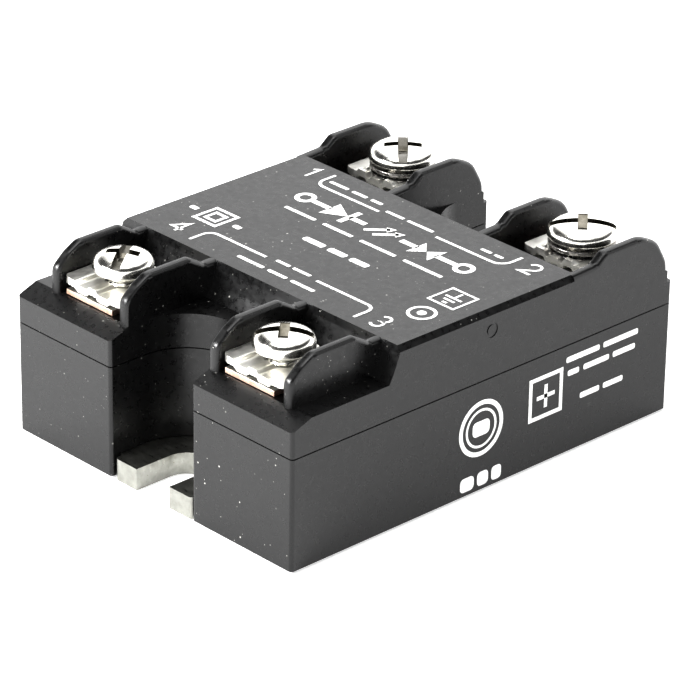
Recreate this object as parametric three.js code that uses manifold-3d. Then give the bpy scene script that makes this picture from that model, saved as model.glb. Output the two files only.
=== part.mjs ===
// Panel-mount solid state relay in millimetres, +Z up.
// The origin is the centre of the base plate's underside. +Y points to the output end
// (terminals 1 and 2), -Y to the input end (terminals 3 and 4), and +X to terminals 2 and 3.

import * as THREE from 'three';
import { mergeVertices } from 'three/addons/utils/BufferGeometryUtils.js';
import Module from 'manifold-3d';

const wasm = await Module();
wasm.setup();

// Housing
const WIDTH = 44.8;
const LENGTH = 57.8;
const HEIGHT = 22.9;
const HOLE_PITCH = 47.6;
const PLATFORM_TOP = 17.6;
const LABEL_TOP = 21.6;
const LABEL_END = 13.4;
const LABEL_FOOT = 15.0;
const LABEL_BEVEL = 0.5;
const CAVITY_HALF = 12;
const SEAM = 13.4;
const SEAM_GAP = 0.05;
const CASE_BOTTOM = 0.2;
const WALL = 1.6;
const INPUT_LIP_TOP = 16.6;
const INPUT_EDGE = 26.2;
const OUTPUT_LIP_TOP = 16.2;
const OUTPUT_EDGE = 28.1;
const NOTCH_HALF = 6.65;
const ROOF = 1.6;

// Base plate
const PLATE_THICK = 2.6;
const PLATE_SKIRT = 1.3;
const PLATE_GAP = 0.1;
const TONGUE_HALF = 6.3;
const TONGUE_END = 28.7;
const HOLE_RADIUS = 2.4;
const SLOT_RADIUS = 2.7;
const GROOVE_WIDTH = 0.45;
const GROOVE_DEPTH = 0.3;

// Barriers beside the terminals
const INNER_WALL = 1.4;
const INPUT_OUTER = [18.2, 19.5];
const OUTPUT_OUTER = [21.0, WIDTH / 2];
const WALL_FOOT = 17.0;

// Terminals
const STRIP_THICK = 0.75;
const STRIP_TOP = PLATFORM_TOP + STRIP_THICK;
const CLAMP_THICK = 0.85;
const CLAMP_WAVE = 0.38;
const CLAMP_WING_SLOPE = 0.06;
const CLAMP_HALF = 4.7;
const CLAMP_LENGTH = 9.0;
const CLAMP_CLEAR = 0.3;
const LOUVRE = { x: 2.1, half: 0.6, reach: 1.3, rise: 0.75, sink: 0.2 };
const FIT = 0.05;
const INPUT_SCREW = {
  headRadius: 3.45, headUnder: 20.85, headHeight: 2.05, shankRadius: 1.75, shankLength: 6.55,
};
const OUTPUT_SCREW = {
  headRadius: 4.05, headUnder: 21.0, headHeight: 1.8, shankRadius: 2.08, shankLength: 7.9,
};
const TERMINALS = [
  { number: 1, x: -14.45, y: 22.4, end: 1, strip: [-4.0, 4.0], screw: OUTPUT_SCREW, slotAngle: -44 },
  { number: 2, x: 14.45, y: 22.4, end: 1, strip: [-4.0, 4.0], screw: OUTPUT_SCREW, slotAngle: 43 },
  { number: 3, x: 12.9, y: -21.4, end: -1, strip: [-4.25, 3.5], screw: INPUT_SCREW, slotAngle: 43 },
  { number: 4, x: -13.2, y: -21.4, end: -1, strip: [-4.25, 3.5], screw: INPUT_SCREW, slotAngle: -56 },
];
const STRIP_REACH = { output: 26.6, input: 26.0 };
const LEG_Y = [15.75, 16.45];
const LEG_HALF = 2.5;
const LEG_CLEAR = 0.25;
const BOSS_RADIUS = 3.2;
const BOSS_BOTTOM = 12.3;
const BOSS_TOP = 17.1;
const WELL_BOTTOM = 12.8;
const WELL_CLEAR = 0.35;
const LEG_OVERLAP = 0.2;
const THREAD_CLEAR = 0.15;
const FLAT_WASHER = { outer: 3.7, inner: 2.35, bottom: 19.33, top: 19.65 };
const LOCK_WASHER = { outer: 3.85, inner: 2.35, bottom: 19.95, top: 20.55, split: 0.7 };
const WASHER_SEAT = { radius: 3.9, above: 0.03 };

// Power stage and control board
const CERAMIC = { x: 17.5, y: [-4.0, 14.5], z: [PLATE_THICK + FIT, 3.28] };
const PAD_X = [0.8, 17.0];
const PAD_MARGIN = 0.5;
const PAD_TOP = 3.63;
const CHIP_SIZE = 6.0;
const CHIP_TOP = 4.03;
const STRAP_THICK = 0.4;
const STRAP_RISE = 1.2;
const STRAP_WIDTH = 3.0;
const STRAP_HALF_SPAN = 6.2;
const FOOT_THICK = 0.75;
const FOOT_START = 11.5;
const CHIP_PLACES = [{ x: -5, y: 8 }, { x: 5, y: 1 }];
const GATE_WIRE_RADIUS = 0.4;
const GATE_INSET = 0.7;
const RESIN_GAP = 0.1;
const POTTING_TOP = 8.2;
const BOARD = { x: 20.4, y: 15.2, z: [9.0, 10.6] };
const ON_BOARD = BOARD.z[1] + FIT;

const finish = (color, roughness, metalness = 0) =>
  new THREE.MeshStandardMaterial({ color, roughness, metalness });
const BLACK_PLASTIC = finish(0x1a1a1c, 0.5);
const NICKEL = finish(0xd6d2c8, 0.25, 1);
const STEEL = finish(0xc8c4ba, 0.35, 1);
const ALUMINIUM = finish(0xb9b9b4, 0.4, 1);
const COPPER = finish(0xc07a50, 0.35, 1);
const CERAMIC_WHITE = finish(0xe8e6de, 0.6);
const SILICON = finish(0x4a4d55, 0.3);
const EPOXY = finish(0x3a3836, 0.6);
const LAMINATE = finish(0x2f6b3c, 0.5);
const COMPONENT_BLACK = finish(0x202022, 0.5);
const RESISTOR_TAN = finish(0xb59a72, 0.6);
const FILM_RED = finish(0x9c2c22, 0.45);
const SLEEVE_BLUE = finish(0x24407a, 0.45);
const GLASS = finish(0xc46a3c, 0.2);

const group = new THREE.Group();

// ---- solids -------------------------------------------------------------------------

function toSolid(geometry) {
  const bare = geometry.clone();
  bare.deleteAttribute('normal');
  bare.deleteAttribute('uv');
  const merged = mergeVertices(bare, 1e-4);
  return new wasm.Manifold(new wasm.Mesh({
    numProp: 3,
    vertProperties: new Float32Array(merged.attributes.position.array),
    triVerts: new Uint32Array(merged.index.array),
  }));
}

function toGeometry(solid) {
  const mesh = solid.getMesh();
  const geometry = new THREE.BufferGeometry();
  geometry.setAttribute('position', new THREE.BufferAttribute(mesh.vertProperties, 3));
  geometry.setIndex(new THREE.BufferAttribute(mesh.triVerts, 1));
  geometry.computeVertexNormals();
  return geometry;
}

function addPiece(name, solid, material) {
  const mesh = new THREE.Mesh(toGeometry(solid), material);
  mesh.name = name;
  group.add(mesh);
}

const union = (...solids) => solids.reduce((whole, next) => whole.add(next));
const cut = (body, ...tools) => tools.reduce((rest, tool) => rest.subtract(tool), body);

function prism(shape, z0, z1, segments = 16) {
  const options = { depth: z1 - z0, bevelEnabled: false, curveSegments: segments };
  return toSolid(new THREE.ExtrudeGeometry(shape, options).translate(0, 0, z0));
}

// A profile of [y, z] points carried along X from x0 to x1.
function sideProfile(points, x0, x1) {
  const shape = new THREE.Shape(points.map(([y, z]) => new THREE.Vector2(y, z)));
  const geometry = new THREE.ExtrudeGeometry(shape, { depth: x1 - x0, bevelEnabled: false });
  geometry.applyMatrix4(new THREE.Matrix4().makeBasis(
    new THREE.Vector3(0, 1, 0), new THREE.Vector3(0, 0, 1), new THREE.Vector3(1, 0, 0)));
  return toSolid(geometry.translate(x0, 0, 0));
}

// A profile of [x, z] points carried along Y from y0 to y1.
function endProfile(points, y0, y1) {
  const shape = new THREE.Shape(points.map(([x, z]) => new THREE.Vector2(x, z)));
  const geometry = new THREE.ExtrudeGeometry(shape, { depth: y1 - y0, bevelEnabled: false });
  geometry.rotateX(Math.PI / 2);
  return toSolid(geometry.translate(0, y1, 0));
}

function box(x0, x1, y0, y1, z0, z1) {
  const geometry = new THREE.BoxGeometry(x1 - x0, y1 - y0, z1 - z0);
  return toSolid(geometry.translate((x0 + x1) / 2, (y0 + y1) / 2, (z0 + z1) / 2));
}

function drum(x, y, radius, z0, z1, segments = 28) {
  const geometry = new THREE.CylinderGeometry(radius, radius, z1 - z0, segments);
  return toSolid(geometry.rotateX(Math.PI / 2).translate(x, y, (z0 + z1) / 2));
}

// A turned body about the vertical through (x, y), from [radius, z] points.
function turned(points, x, y, segments = 28) {
  const outline = points.map(([radius, z]) => new THREE.Vector2(radius, z));
  const geometry = new THREE.LatheGeometry(outline, segments);
  return toSolid(geometry.rotateX(Math.PI / 2).translate(x, y, 0));
}

// ---- housing outline -----------------------------------------------------------------

// Plan of the housing, drawn in by inset, with a round-ended notch at each end.
function housingPlan(inset) {
  const x = WIDTH / 2 - inset;
  const y = LENGTH / 2 - inset;
  const notch = NOTCH_HALF + inset;
  const hole = HOLE_PITCH / 2;
  const shape = new THREE.Shape();
  shape.moveTo(-x, -y);
  shape.lineTo(-notch, -y);
  shape.lineTo(-notch, -hole);
  shape.absarc(0, -hole, notch, Math.PI, 0, true);
  shape.lineTo(notch, -y);
  shape.lineTo(x, -y);
  shape.lineTo(x, y);
  shape.lineTo(notch, y);
  shape.lineTo(notch, hole);
  shape.absarc(0, hole, notch, 0, Math.PI, true);
  shape.lineTo(-notch, y);
  shape.lineTo(-x, y);
  shape.closePath();
  return shape;
}

function platePlan(grow) {
  const x = WIDTH / 2 - PLATE_SKIRT + grow;
  const y = LENGTH / 2 - PLATE_SKIRT + grow;
  const tongue = TONGUE_HALF + grow;
  const end = TONGUE_END + grow;
  return new THREE.Shape([
    [-x, -y], [-tongue, -y], [-tongue, -end], [tongue, -end], [tongue, -y], [x, -y],
    [x, y], [tongue, y], [tongue, end], [-tongue, end], [-tongue, y], [-x, y],
  ].map(([px, py]) => new THREE.Vector2(px, py)));
}

// ---- base plate and lower case ---------------------------------------------------------

// U-shaped channel for the adhesive bead under the case's notch wall.
function glueGroove(end) {
  const hole = HOLE_PITCH / 2;
  const z0 = PLATE_THICK - GROOVE_DEPTH;
  const z1 = PLATE_THICK + 1;
  const mouth = LENGTH / 2 + 1;
  const slab = (half) => union(
    drum(0, end * hole, half, z0, z1, 32),
    box(-half, half, ...[end * hole, end * mouth].sort((a, b) => a - b), z0, z1),
  );
  const inner = NOTCH_HALF - GROOVE_WIDTH / 2;
  return cut(slab(inner + GROOVE_WIDTH), slab(inner));
}

function makeBasePlate() {
  const hole = HOLE_PITCH / 2;
  const slotEnd = drum(0, -hole, SLOT_RADIUS, -1, PLATE_THICK + 1);
  const slotMouth = box(-SLOT_RADIUS, SLOT_RADIUS, -LENGTH / 2 - 1, -hole, -1, PLATE_THICK + 1);
  const roundHole = drum(0, hole, HOLE_RADIUS, -1, PLATE_THICK + 1);
  return cut(prism(platePlan(0), 0, PLATE_THICK), slotEnd, slotMouth, roundHole,
    glueGroove(-1), glueGroove(1));
}

function makeLowerCase() {
  const outside = prism(housingPlan(0), CASE_BOTTOM, SEAM);
  const inside = prism(housingPlan(WALL), -1, SEAM + 1);
  const plateSeat = prism(platePlan(PLATE_GAP), -1, PLATE_THICK + PLATE_GAP);
  return cut(outside, inside, plateSeat);
}

// ---- top cover -------------------------------------------------------------------------

// Barrier beside an input terminal: upright foot, sloped shoulder, flat crest and dip to the label.
const INPUT_BARRIER = [
  [-LABEL_END + 0.4, WALL_FOOT], [-26.6, WALL_FOOT], [-26.6, 19.9], [-26.2, 20.75], [-24.9, 21.9],
  [-23.8, 22.55], [-22.8, HEIGHT], [-17.4, HEIGHT], [-16.6, 22.6], [-15.6, 22.0], [-14.7, LABEL_TOP],
  [-LABEL_END + 0.4, LABEL_TOP],
];
// Barrier beside an output terminal: a step up from the label, a flat crest and a round fall.
const OUTPUT_BARRIER = [
  [LABEL_END - 0.4, WALL_FOOT], [LABEL_END - 0.4, LABEL_TOP], [16.0, 21.65], [17.0, 22.15], [17.8, 22.75],
  [18.6, HEIGHT], [23.2, HEIGHT], [25.0, 22.5], [26.6, 21.5], [27.7, 20.0], [OUTPUT_EDGE, 18.3],
  [OUTPUT_EDGE, OUTPUT_LIP_TOP], [27.0, OUTPUT_LIP_TOP],
];
// Half of the label block's end: a foot that leans in to the label's edge.
const BLOCK_END = [[LABEL_FOOT, PLATFORM_TOP], [14.2, 19.2], [13.6, 20.8], [LABEL_END, LABEL_TOP]];

function makeTopCover() {
  const y = LENGTH / 2;
  const x = WIDTH / 2;
  const floor = SEAM + SEAM_GAP;
  const above = PLATFORM_TOP + 1;
  const inputSlope = [[-y, INPUT_LIP_TOP], [-INPUT_EDGE, PLATFORM_TOP], [-INPUT_EDGE, above], [-y - 1, above],
    [-y - 1, INPUT_LIP_TOP]];
  const outputStep = [[OUTPUT_EDGE, OUTPUT_LIP_TOP], [y + 1, OUTPUT_LIP_TOP], [y + 1, above],
    [OUTPUT_EDGE, above]];
  const towers = cut(
    prism(housingPlan(0), floor, PLATFORM_TOP),
    sideProfile(inputSlope, -x - 1, x + 1),
    sideProfile(outputStep, -x - 1, x + 1),
  );
  const blockSide = [
    [-LABEL_FOOT, WALL_FOOT], [LABEL_FOOT, WALL_FOOT], ...BLOCK_END,
    ...BLOCK_END.map(([by, bz]) => [-by, bz]).reverse(),
  ];
  const bevelTool = [[0, 0], [2, 0], [2, 2], [0, 2]];
  const bevels = [-1, 1].map((side) => {
    const corner = new THREE.Shape(bevelTool.map(([a, b]) => new THREE.Vector2(a, b)));
    const bar = new THREE.ExtrudeGeometry(corner, { depth: 2 * LABEL_FOOT, bevelEnabled: false });
    bar.translate(-1, -1, -LABEL_FOOT).rotateZ(Math.PI / 4).rotateX(Math.PI / 2);
    const reach = Math.SQRT2 - LABEL_BEVEL / 2;
    return toSolid(bar.translate(side * (x + reach - LABEL_BEVEL / 2), 0, LABEL_TOP + reach - LABEL_BEVEL / 2));
  });
  const block = cut(sideProfile(blockSide, -x, x), ...bevels);
  const barriers = [-1, 1].flatMap((side) => {
    const across = (profile, [near, far]) => (side > 0
      ? sideProfile(profile, near, far)
      : sideProfile(profile, -far, -near));
    const inner = [NOTCH_HALF, NOTCH_HALF + INNER_WALL];
    return [
      across(INPUT_BARRIER, inner), across(INPUT_BARRIER, INPUT_OUTER),
      across(OUTPUT_BARRIER, inner), across(OUTPUT_BARRIER, OUTPUT_OUTER),
    ];
  });
  const solidCover = union(towers, block, ...barriers);
  const lowCavity = prism(housingPlan(WALL), SEAM - 1, PLATFORM_TOP - ROOF);
  const highCavity = box(-x + WALL, x - WALL, -CAVITY_HALF, CAVITY_HALF, SEAM, LABEL_TOP - ROOF);
  const hollow = cut(solidCover, lowCavity, highCavity);
  const bosses = TERMINALS.map((t) => drum(t.x, t.y, BOSS_RADIUS, BOSS_BOTTOM, BOSS_TOP));
  const wells = TERMINALS.map((t) =>
    drum(t.x, t.y, t.screw.shankRadius + WELL_CLEAR, WELL_BOTTOM, PLATFORM_TOP + 1));
  const legSlots = TERMINALS.map((t) => {
    const [near, far] = LEG_Y.map((v) => v * t.end).sort((a, b) => a - b);
    return box(t.x - LEG_HALF - LEG_CLEAR, t.x + LEG_HALF + LEG_CLEAR,
      near - LEG_CLEAR, far + LEG_CLEAR, PLATFORM_TOP - ROOF - 1, PLATFORM_TOP + 0.2);
  });
  return cut(union(hollow, ...bosses), ...wells, ...legSlots);
}

// ---- terminals -------------------------------------------------------------------------

// Flat strip on the platform with a leg through the cover. Output legs end in a foot on the pad.
function makeTerminalPlate(t) {
  const outer = t.end > 0 ? STRIP_REACH.output : STRIP_REACH.input;
  const legBottom = t.end > 0 ? PAD_TOP + FIT : BOARD.z[0];
  const [nearLeg, farLeg] = LEG_Y;
  const leg = [-LEG_HALF, LEG_HALF];
  const spanY = (a, b) => [a * t.end, b * t.end].sort((p, q) => p - q);
  const bar = ([left, right], ya, yb, z0, z1) => box(t.x + left, t.x + right, ...spanY(ya, yb), z0, z1);
  const parts = [
    bar(t.strip, farLeg - LEG_OVERLAP, outer, PLATFORM_TOP + FIT, STRIP_TOP),
    bar(leg, nearLeg, farLeg, legBottom, STRIP_TOP),
  ];
  if (t.end > 0) {
    parts.push(bar(leg, FOOT_START, farLeg, legBottom, legBottom + FOOT_THICK));
  }
  const threadHole = drum(t.x, t.y, t.screw.shankRadius + THREAD_CLEAR, PLATFORM_TOP - 1, STRIP_TOP + 1);
  return cut(union(...parts), threadHole);
}

// Half of the clamp's wave as [distance from the middle, height]: a ridge, a channel and a wing.
const CLAMP_SECTION = [
  [0.5, CLAMP_WAVE], [1.05, 0], [2.45, 0], [3.0, CLAMP_WAVE],
  [CLAMP_HALF, CLAMP_WAVE + CLAMP_WING_SLOPE * (CLAMP_HALF - 3.2)],
];

// Saddle clamp: two channels over the wires, with louvres and a round washer seat on the output ones.
function makeClampPlate(t) {
  const bottom = STRIP_TOP + FIT;
  const top = bottom + CLAMP_THICK;
  const section = [...CLAMP_SECTION.map(([x, z]) => [-x, z]).reverse(), ...CLAMP_SECTION];
  const under = section.map(([x, z]) => [t.x + x, bottom + z]);
  const over = section.map(([x, z]) => [t.x + x, top + z]).reverse();
  const hole = drum(t.x, t.y, t.screw.shankRadius + CLAMP_CLEAR, bottom - 1, top + 2);
  const plate = endProfile([...under, ...over], t.y - CLAMP_LENGTH / 2, t.y + CLAMP_LENGTH / 2);
  if (t.end < 0) {
    return cut(plate, hole);
  }
  const inner = t.y - CLAMP_LENGTH / 2;
  const louvres = [-LOUVRE.x, LOUVRE.x].map((x) => box(t.x + x - LOUVRE.half, t.x + x + LOUVRE.half,
    inner, inner + LOUVRE.reach, top - LOUVRE.sink, top + LOUVRE.rise));
  const seat = drum(t.x, t.y, WASHER_SEAT.radius, top + WASHER_SEAT.above, top + 2, 36);
  return cut(union(plate, ...louvres), hole, seat);
}

// Domed head as [share of the radius, share of the height].
const HEAD_DOME = [[1, 0.07], [1, 0.26], [0.93, 0.55], [0.7, 0.83], [0.4, 0.96]];
const HEAD_EDGE = 0.1;
const TIP_CHAMFER = 0.4;
const SLOT = { width: 1.1, depth: 1.0 };
const CROSS = { width: 1.1, depth: 1.2 };

// Pan head with a full-width driver slot crossed by a shorter recess.
function makeScrew(t) {
  const { headRadius, headUnder, headHeight, shankRadius, shankLength } = t.screw;
  const top = headUnder + headHeight;
  const tip = headUnder - shankLength;
  const body = turned([
    [0, tip], [shankRadius - TIP_CHAMFER, tip], [shankRadius, tip + TIP_CHAMFER], [shankRadius, headUnder],
    [headRadius - HEAD_EDGE, headUnder],
    ...HEAD_DOME.map(([out, up]) => [headRadius * out, headUnder + headHeight * up]),
    [0, top],
  ], t.x, t.y);
  const groove = (length, { width, depth }, angle) => {
    const bar = new THREE.BoxGeometry(length, width, 2 * depth);
    return toSolid(bar.rotateZ(THREE.MathUtils.degToRad(angle)).translate(t.x, t.y, top));
  };
  return cut(body, groove(3 * headRadius, SLOT, t.slotAngle), groove(headRadius, CROSS, t.slotAngle + 90));
}

function makeWasher(t, { outer, inner, bottom, top }) {
  return cut(drum(t.x, t.y, outer, bottom, top, 36), drum(t.x, t.y, inner, bottom - 1, top + 1, 36));
}

function makeLockWasher(t) {
  const { outer, inner, bottom, top, split } = LOCK_WASHER;
  const gap = box(t.x + inner / 2, t.x + outer + 1, t.y - split / 2, t.y + split / 2, bottom - 1, top + 1);
  return cut(makeWasher(t, LOCK_WASHER), gap);
}

// ---- power stage -----------------------------------------------------------------------

function makeCeramic() {
  return box(-CERAMIC.x, CERAMIC.x, ...CERAMIC.y, ...CERAMIC.z);
}

function makePad(side) {
  const [near, far] = PAD_X.map((v) => v * side).sort((a, b) => a - b);
  return box(near, far, CERAMIC.y[0] + PAD_MARGIN, CERAMIC.y[1] - PAD_MARGIN, CERAMIC.z[1] + FIT, PAD_TOP);
}

function makeChip({ x, y }) {
  const half = CHIP_SIZE / 2;
  return box(x - half, x + half, y - half, y + half, PAD_TOP + FIT, CHIP_TOP);
}

// Copper strap from the top of one chip over to the other pad.
function makeStrap({ x, y }) {
  const toOther = -Math.sign(x);
  const at = (d) => x + toOther * d;
  const low = PAD_TOP + FIT;
  const high = CHIP_TOP + FIT;
  const crest = high + STRAP_RISE;
  const t = STRAP_THICK;
  const span = [
    [at(-1.8), high], [at(1.6), high], [at(2.6), crest], [at(7.2), crest], [at(8.2), low], [at(11), low],
    [at(11), low + t], [at(8.6), low + t], [at(7.6), crest + t], [at(2.2), crest + t], [at(1.2), high + t],
    [at(-1.8), high + t],
  ];
  const outline = toOther > 0 ? span : span.slice().reverse();
  return endProfile(outline, y - STRAP_WIDTH / 2, y + STRAP_WIDTH / 2);
}

function makeGateWire({ x, y }) {
  return drum(x, y + CHIP_SIZE / 2 - GATE_INSET, GATE_WIRE_RADIUS, CHIP_TOP + FIT, BOARD.z[0] - FIT, 12);
}

// Cast resin over the power stage, with a thin gap round everything it surrounds.
function makePotting() {
  const g = RESIN_GAP;
  const resin = prism(housingPlan(WALL + g), PLATE_THICK + FIT, POTTING_TOP);
  const c = CERAMIC;
  const recess = box(-c.x - g, c.x + g, c.y[0] - g, c.y[1] + g, 0, PAD_TOP + g);
  const half = CHIP_SIZE / 2 + g;
  const strapHalf = STRAP_WIDTH / 2 + g;
  const strapTop = CHIP_TOP + FIT + STRAP_RISE + STRAP_THICK + g;
  const chips = CHIP_PLACES.map(({ x, y }) =>
    box(x - half, x + half, y - half, y + half, PAD_TOP, CHIP_TOP + FIT + STRAP_THICK + g));
  const straps = CHIP_PLACES.map(({ y }) =>
    box(-STRAP_HALF_SPAN - g, STRAP_HALF_SPAN + g, y - strapHalf, y + strapHalf, PAD_TOP, strapTop));
  const wires = CHIP_PLACES.map(({ x, y }) =>
    drum(x, y + CHIP_SIZE / 2 - GATE_INSET, GATE_WIRE_RADIUS + g, CHIP_TOP, POTTING_TOP + 1, 12));
  const legs = TERMINALS.filter((t) => t.end > 0).flatMap((t) => {
    const near = t.x - LEG_HALF - g;
    const far = t.x + LEG_HALF + g;
    return [
      box(near, far, FOOT_START - g, LEG_Y[1] + g, PAD_TOP, PAD_TOP + FIT + FOOT_THICK + g),
      box(near, far, LEG_Y[0] - g, LEG_Y[1] + g, PAD_TOP, POTTING_TOP + 1),
    ];
  });
  return cut(resin, recess, ...chips, ...straps, ...wires, ...legs);
}

// ---- control board ---------------------------------------------------------------------

const OPTO = { half: [4.3, 3.2], under: 0.5, top: 3.9, pinX: [-2.54, 0, 2.54], pinHalf: 0.3, pinTop: 2.2 };
const BRIDGE = { half: [4.2, 3.2], under: 0.4, top: 3.4, pinX: [-2.5, 2.5], pinHalf: 0.4, pinTop: 1.9 };
const PIN_OUT = 0.3;
const PIN_REACH = 0.4;

// Moulded package with a row of pins along each long side.
function makePackage(x, y, { half, under, top, pinX, pinHalf, pinTop }) {
  const body = box(x - half[0], x + half[0], y - half[1], y + half[1], ON_BOARD + under, ON_BOARD + top);
  const row = half[1] + PIN_OUT;
  const pins = pinX.flatMap((dx) => [-row, row].map((dy) => box(x + dx - pinHalf, x + dx + pinHalf,
    y + dy - PIN_REACH, y + dy + PIN_REACH, ON_BOARD, ON_BOARD + pinTop)));
  return union(body, ...pins);
}

const AXIAL = { lift: 0.3, cap: 0.8, neck: 1.8, lead: 1.2 };

// Axial part lying along X with its wires bent down to the board.
function makeAxial(x, y, { radius, length, wire }) {
  const z = ON_BOARD + radius + AXIAL.lift;
  const reach = length / 2;
  const half = [
    [0.9 * radius, reach - AXIAL.neck], [radius, reach - AXIAL.cap], [0.75 * radius, reach], [0, reach],
  ];
  const whole = [...half.map(([r, h]) => [r, -h]).reverse(), ...half];
  const profile = whole.map(([r, h]) => new THREE.Vector2(r, h));
  const barrel = new THREE.LatheGeometry(profile, 16).rotateZ(-Math.PI / 2).translate(x, y, z);
  const lead = new THREE.CylinderGeometry(wire, wire, length + 2 * AXIAL.lead, 8);
  const bend = reach + AXIAL.lead - wire;
  const ends = [-bend, bend].map((dx) => drum(x + dx, y, wire, ON_BOARD, z, 8));
  return union(toSolid(barrel), toSolid(lead.rotateZ(Math.PI / 2).translate(x, y, z)), ...ends);
}

const CAN = { radius: 3.15, height: 7.4, neck: 0.92, rim: 0.9, bead: [0.4, 1.0, 1.3, 1.6], shoulder: 0.3 };

// Aluminium can with a bead rolled in near its foot.
function makeElectrolytic(x, y, { radius, height, neck, rim, bead, shoulder }) {
  return turned([
    [0, 0], [radius * rim, 0], [radius, bead[0]], [radius, bead[1]], [radius * neck, bead[2]],
    [radius, bead[3]], [radius, height - shoulder], [radius * rim, height], [0, height],
  ].map(([r, z]) => [r, ON_BOARD + z]), x, y);
}

const FILM = { half: [6.5, 2.5], height: 8.4 };

function makeFilmCapacitor(x, y, { half, height }) {
  return box(x - half[0], x + half[0], y - half[1], y + half[1], ON_BOARD, ON_BOARD + height);
}

const TO92 = { radius: 2.3, flat: Math.PI / 6, under: 1.2, top: 5.0, pitch: 1.27, legHalf: 0.25, legTop: 2 };

// Transistor with a flat front and a round back, on three legs.
function makeTransistor(x, y, { radius, flat, under, top, pitch, legHalf, legTop }) {
  const plan = new THREE.Shape();
  plan.absarc(x, y, radius, -flat, Math.PI + flat, false);
  plan.closePath();
  const legs = [-pitch, 0, pitch].map((dx) => box(x + dx - legHalf, x + dx + legHalf, y - legHalf, y + legHalf,
    ON_BOARD, ON_BOARD + legTop));
  return union(prism(plan, ON_BOARD + under, ON_BOARD + top), ...legs);
}

// ---- assembly --------------------------------------------------------------------------

addPiece('base_plate', makeBasePlate(), ALUMINIUM);
addPiece('lower_case', makeLowerCase(), BLACK_PLASTIC);
addPiece('top_cover', makeTopCover(), BLACK_PLASTIC);

for (const terminal of TERMINALS) {
  addPiece(`terminal_plate_${terminal.number}`, makeTerminalPlate(terminal), NICKEL);
  addPiece(`clamp_plate_${terminal.number}`, makeClampPlate(terminal), NICKEL);
  addPiece(`terminal_screw_${terminal.number}`, makeScrew(terminal), NICKEL);
  if (terminal.end > 0) {
    addPiece(`flat_washer_${terminal.number}`, makeWasher(terminal, FLAT_WASHER), STEEL);
    addPiece(`lock_washer_${terminal.number}`, makeLockWasher(terminal), STEEL);
  }
}

addPiece('ceramic_substrate', makeCeramic(), CERAMIC_WHITE);
[-1, 1].forEach((side, i) => addPiece(`copper_pad_${i + 1}`, makePad(side), COPPER));
CHIP_PLACES.forEach((place, i) => {
  addPiece(`thyristor_chip_${i + 1}`, makeChip(place), SILICON);
  addPiece(`cathode_strap_${i + 1}`, makeStrap(place), COPPER);
  addPiece(`gate_wire_${i + 1}`, makeGateWire(place), COPPER);
});
addPiece('potting_resin', makePotting(), EPOXY);

addPiece('control_board', box(-BOARD.x, BOARD.x, -BOARD.y, BOARD.y, ...BOARD.z), LAMINATE);
addPiece('opto_coupler', makePackage(-1, -1, OPTO), COMPONENT_BLACK);
addPiece('bridge_rectifier', makePackage(-14, -8, BRIDGE), COMPONENT_BLACK);
const POWER_RESISTOR = { radius: 1.7, length: 9, wire: 0.35 };
const SMALL_RESISTOR = { radius: 1.0, length: 4.4, wire: 0.25 };
const ZENER = { radius: 0.95, length: 4, wire: 0.25 };
addPiece('input_resistor_1', makeAxial(12, -11.5, POWER_RESISTOR), RESISTOR_TAN);
addPiece('input_resistor_2', makeAxial(12, -6.5, POWER_RESISTOR), RESISTOR_TAN);
addPiece('smoothing_capacitor', makeElectrolytic(-4.5, -8, CAN), SLEEVE_BLUE);
addPiece('regulator_transistor', makeTransistor(2.5, -8.5, TO92), COMPONENT_BLACK);
addPiece('zener_diode', makeAxial(12, -2, ZENER), GLASS);
addPiece('snubber_capacitor', makeFilmCapacitor(-11.5, 8, FILM), FILM_RED);
addPiece('snubber_resistor', makeAxial(12, 11, POWER_RESISTOR), RESISTOR_TAN);
addPiece('gate_resistor_1', makeAxial(1.5, 7, SMALL_RESISTOR), RESISTOR_TAN);
addPiece('gate_resistor_2', makeAxial(12, 4, SMALL_RESISTOR), RESISTOR_TAN);

export default group;
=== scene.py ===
"""Looks of a panel-mount solid state relay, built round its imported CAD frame."""
import math
from contextlib import contextmanager

import bmesh
import bpy
from mathutils import Matrix, Vector


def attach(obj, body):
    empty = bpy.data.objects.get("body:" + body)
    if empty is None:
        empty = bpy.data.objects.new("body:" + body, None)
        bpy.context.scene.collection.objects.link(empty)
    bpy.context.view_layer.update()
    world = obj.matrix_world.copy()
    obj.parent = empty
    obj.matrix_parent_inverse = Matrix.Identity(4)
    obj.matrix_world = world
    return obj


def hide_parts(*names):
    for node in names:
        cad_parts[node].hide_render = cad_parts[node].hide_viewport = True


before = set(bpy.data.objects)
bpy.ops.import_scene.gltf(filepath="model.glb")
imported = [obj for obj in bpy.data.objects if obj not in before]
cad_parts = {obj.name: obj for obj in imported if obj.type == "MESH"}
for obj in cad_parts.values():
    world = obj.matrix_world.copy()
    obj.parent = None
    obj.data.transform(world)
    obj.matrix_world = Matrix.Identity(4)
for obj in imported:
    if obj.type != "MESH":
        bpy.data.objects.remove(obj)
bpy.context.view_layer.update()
scene = bpy.context.scene

# All shape sizes below are millimetres in the part's frame. finish_piece() turns them into metres.
MM = 0.001

# Housing
WIDTH = 44.8
LENGTH = 57.8
HEIGHT = 22.9
HOLE_PITCH = 47.6
PLATFORM_TOP = 17.6
LABEL_TOP = 21.6
LABEL_END = 13.4
SEAM = 13.4
SEAM_GAP = 0.14
CASE_BOTTOM = 0.2
WALL = 1.6
ROOF = 1.6
NOTCH_HALF = 6.65
OUTPUT_EDGE = 28.1
CORNER = 0.45
LABEL_CHAMFER = 0.6
BLOCK_END = 15.0
BLOCK_FOOT = 17.0
CAVITY_END = 12.0
SLOPE_LOW = 16.6
SLOPE_START = 26.2
OUTPUT_SHELF = 16.2
MOULD_RING = {"y": 0.2, "z": 19.2, "outer": 0.9, "inner": 0.6, "depth": 0.08}

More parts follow.
